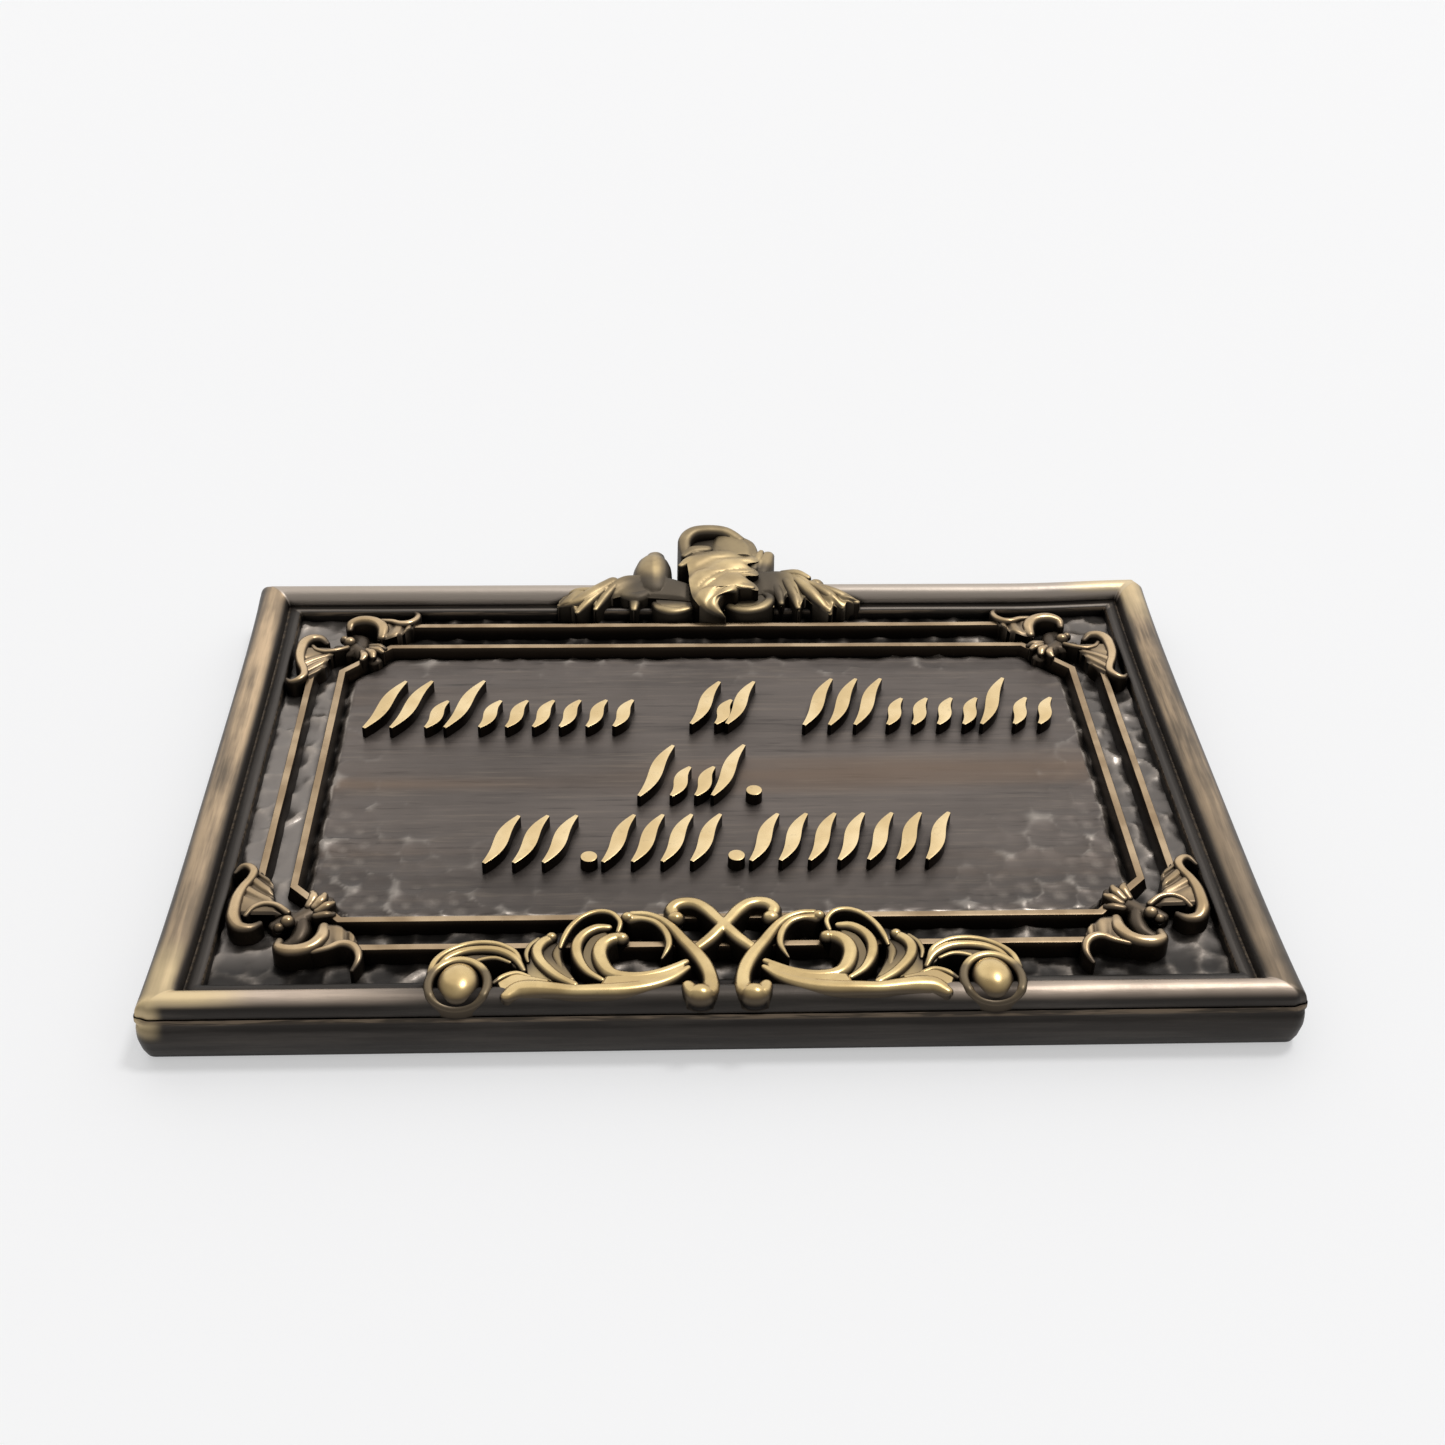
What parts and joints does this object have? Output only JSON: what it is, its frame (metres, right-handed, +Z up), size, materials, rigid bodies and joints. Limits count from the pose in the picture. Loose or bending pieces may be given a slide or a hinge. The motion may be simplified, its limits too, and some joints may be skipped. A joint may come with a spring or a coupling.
{
  "type": "wall plaque",
  "caption": "Cast brass wedding plaque: beaded frame, two raised rails, corner knots, scrolled ornament below, leaf crest above and rows of raised strokes; hangs by its flat back.",
  "frame": {"origin": "middle of the frame's flat back, where the wall touches it", "axes": "+Y into the wall, out of the flat back; +Z up to the crest; +X to the right of someone who looks at the front"},
  "size_m": [0.1198, 0.009, 0.0938],
  "materials": {
    "brass": "antique brass: rubbed satin gold on the raised work, dark brown-grey patina in the ground and the recesses"
  },
  "bodies": {
    "root": {"plaque": "brass"}
  },
  "joints": []
}
